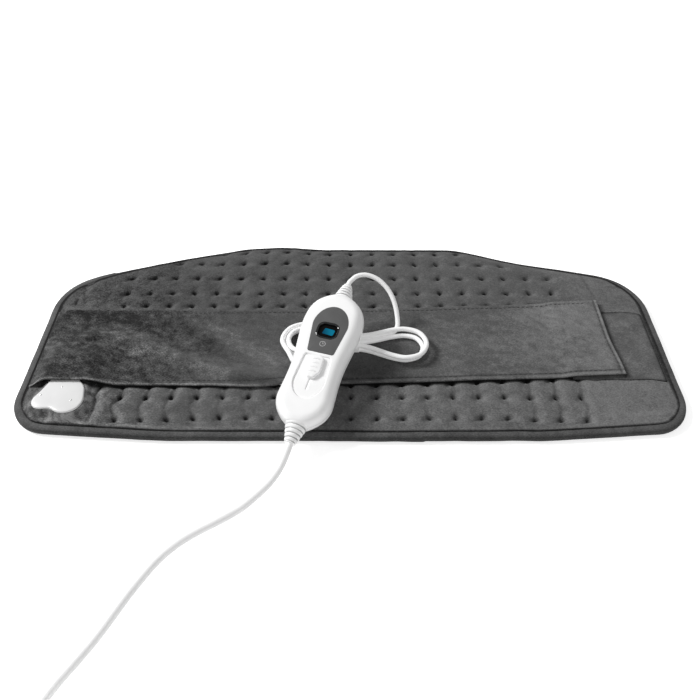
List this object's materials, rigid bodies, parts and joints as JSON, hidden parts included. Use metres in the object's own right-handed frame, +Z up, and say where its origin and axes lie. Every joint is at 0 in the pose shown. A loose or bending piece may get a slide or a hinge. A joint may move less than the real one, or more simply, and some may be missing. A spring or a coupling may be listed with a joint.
{
  "type": "heating pad with controller",
  "caption": "Quilted plush heating pad with a bound edge and fastening belt, a white hand controller with display and slide switch, its cords and a mains plug.",
  "frame": {"origin": "middle of the pad's underside, on the surface that the pad lies on", "axes": "+X along the pad's length to the right, +Y to its raised back edge, +Z up out of the quilting"},
  "size_m": [0.6, 0.5994, 0.0584],
  "materials": {
    "plush": "brushed plush, short nap",
    "plush_dark": "woven tape and plush",
    "felt": "non-woven felt",
    "white_plastic": "glossy moulded",
    "white_cord": "satin flexible PVC",
    "grey_panel": "satin",
    "black_gloss": "polished",
    "blue_display": "polished",
    "board": "satin",
    "steel": "plated",
    "red_insulation": "satin"
  },
  "bodies": {
    "pad_and_controller": {"quilted_top": "plush", "belt": "plush", "landing_patch": "plush", "edge_binding": "plush_dark", "bottom_cover": "plush_dark", "belt_hook_strip": "plush_dark", "heater_felt": "felt", "upper_shell": "white_plastic", "lower_shell": "white_plastic", "terminal_cover": "white_plastic", "terminal_base": "white_plastic", "terminal_block": "white_plastic", "plug_body": "white_plastic", "hank_tie": "white_plastic", "coil_tie": "white_plastic", "pad_cord_lead": "white_cord", "pad_cord_hank": "white_cord", "pad_cord_tail": "white_cord", "mains_cord_lead": "white_cord", "mains_cord_coil": "white_cord", "mains_cord_end": "white_cord", "pad_cord_relief": "white_cord", "mains_cord_relief": "white_cord", "plug_relief": "white_cord", "terminal_gland": "white_cord", "face_panel": "grey_panel", "slide_switch": "grey_panel", "display_bezel": "black_gloss", "display_lens": "black_gloss", "triac": "black_gloss", "display_module": "blue_display", "circuit_board": "board", "terminal_screw_1": "steel", "terminal_screw_2": "steel", "terminal_screw_3": "steel", "shell_screw_1": "steel", "shell_screw_2": "steel", "shell_screw_3": "steel", "shell_screw_4": "steel", "plug_pin_1": "steel", "plug_pin_2": "steel", "fuse": "steel", "thermal_cutout_1": "steel", "thermal_cutout_2": "steel", "heating_wire": "red_insulation", "suppressor_capacitor": "red_insulation"},
    "slider": {"slide_knob": "white_plastic"}
  },
  "joints": [
    {"name": "switch_slide", "type": "slide", "parent": "pad_and_controller", "child": "slider", "axis": [-0.286, -0.9354, -0.2079], "range_m": [0, 0.012]}
  ]
}
